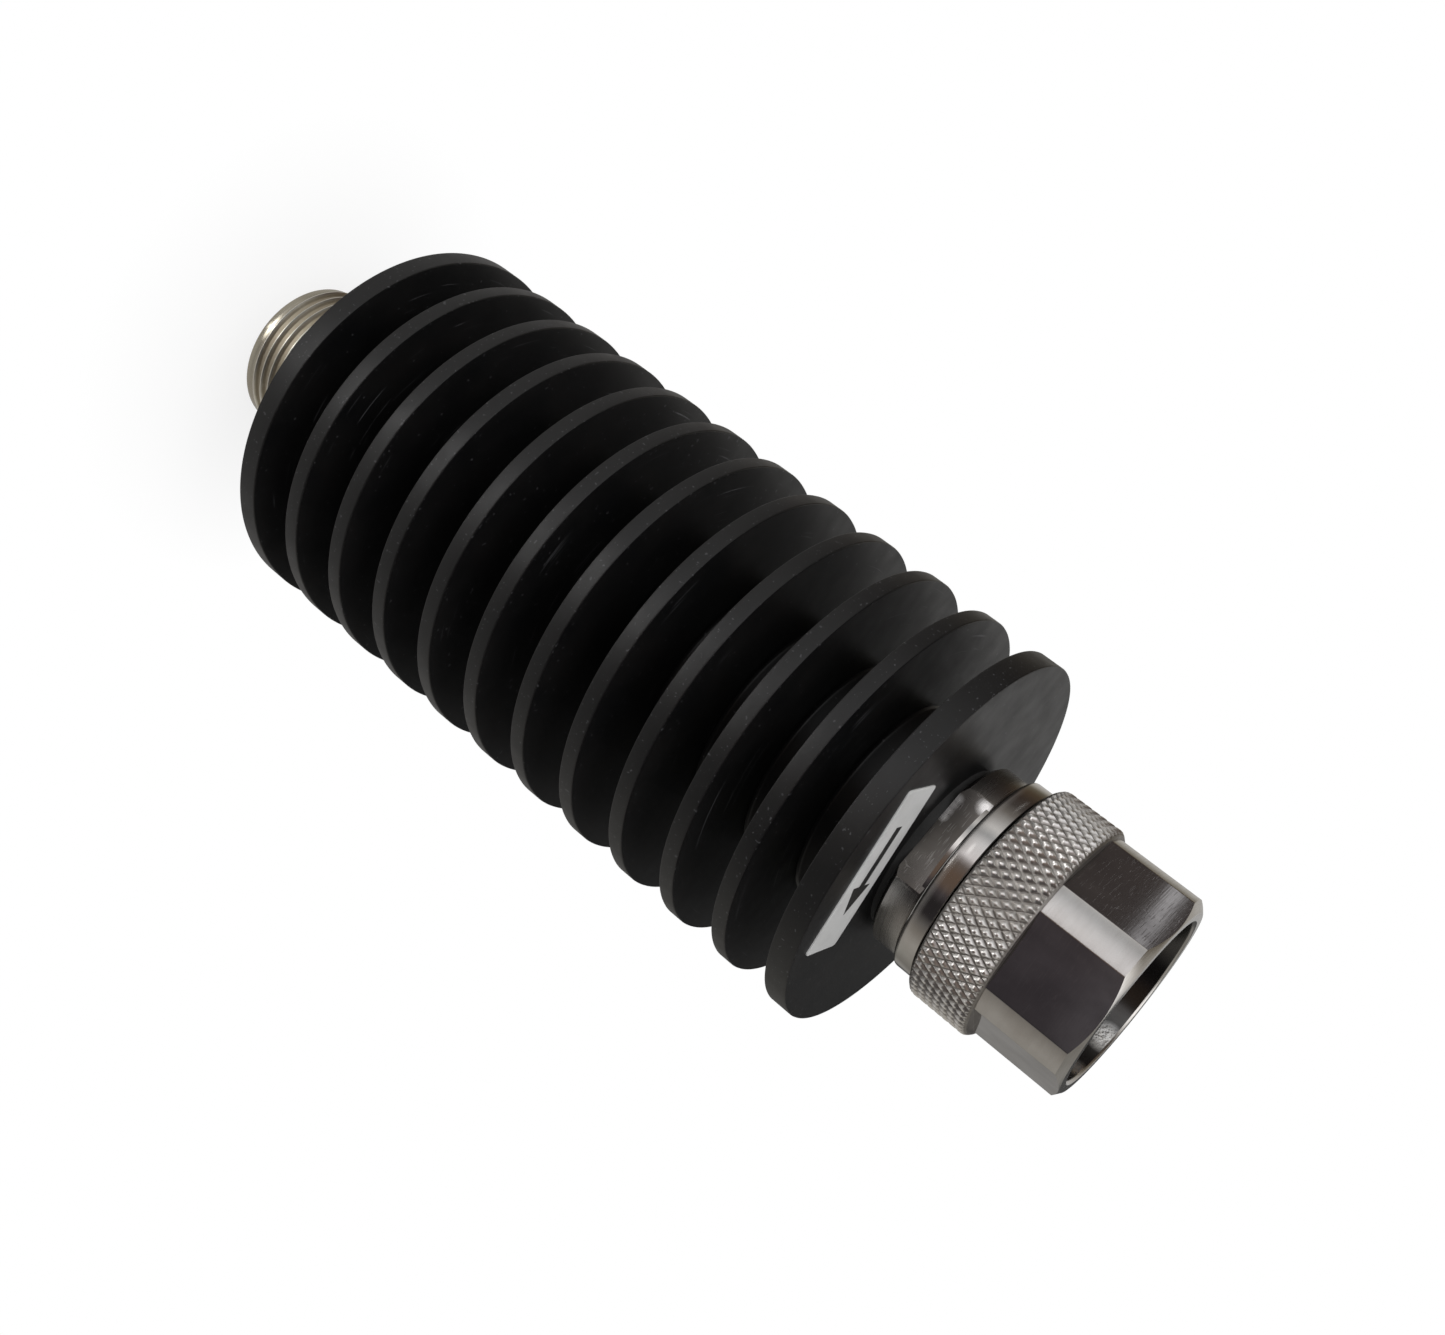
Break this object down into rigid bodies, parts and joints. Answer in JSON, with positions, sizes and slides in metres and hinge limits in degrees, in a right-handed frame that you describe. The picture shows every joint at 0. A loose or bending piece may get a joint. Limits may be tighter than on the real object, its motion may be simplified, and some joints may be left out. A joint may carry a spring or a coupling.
{
  "type": "coaxial attenuator",
  "caption": "In-line coaxial power attenuator: a black finned heat sink with a threaded female connector at one end and a male connector with a turning coupling nut at the other.",
  "frame": {"origin": "on the long axis, in the plane of the female barrel's end face, on which the part stands", "axes": "+Z along the long axis from the female end to the male end; -Y points at the side that the picture shows"},
  "size_m": [0.038, 0.038, 0.106],
  "materials": {
    "anodised_sink": "black anodised, satin, with fine turning marks",
    "label_foil": "satin silver-grey foil with a plain black arrow",
    "jack_metal": "nickel plated, warm, semi-bright",
    "plug_metal": "turned and polished, bright",
    "nut_metal": "turned, milled and knurled, bright",
    "sleeve_metal": "silver plated",
    "contact_gold": "gold plated",
    "insulator": "white fluoropolymer, smooth",
    "black_rubber": "matt",
    "spring_metal": "bronze spring, satin",
    "carrier_metal": "machined",
    "screw_steel": "satin",
    "ceramic": "ceramic substrate with a thick film",
    "ribbon_gold": "gold plated ribbon"
  },
  "bodies": {
    "attenuator": {"heatsink": "anodised_sink", "port_label": "label_foil", "female_shell": "jack_metal", "female_insulator": "insulator", "female_socket": "contact_gold", "female_seat_ring": "black_rubber", "male_shell": "plug_metal", "male_sleeve": "sleeve_metal", "male_insulator": "insulator", "male_pin": "contact_gold", "male_seat_ring": "black_rubber", "face_gasket": "black_rubber", "retaining_ring": "spring_metal", "carrier_base": "carrier_metal", "carrier_cover": "carrier_metal", "carrier_screws": "screw_steel", "attenuator_chip": "ceramic", "output_ribbon": "ribbon_gold", "input_ribbon": "ribbon_gold", "output_rod": "contact_gold", "input_rod": "contact_gold", "output_bead": "insulator", "input_bead": "insulator"},
    "nut": {"coupling_nut": "nut_metal"}
  },
  "joints": [
    {"name": "nut_turn", "type": "hinge", "parent": "attenuator", "child": "nut", "pos_m": [0, 0, 0.0984], "axis": [0, 0, 1], "continuous": true}
  ]
}
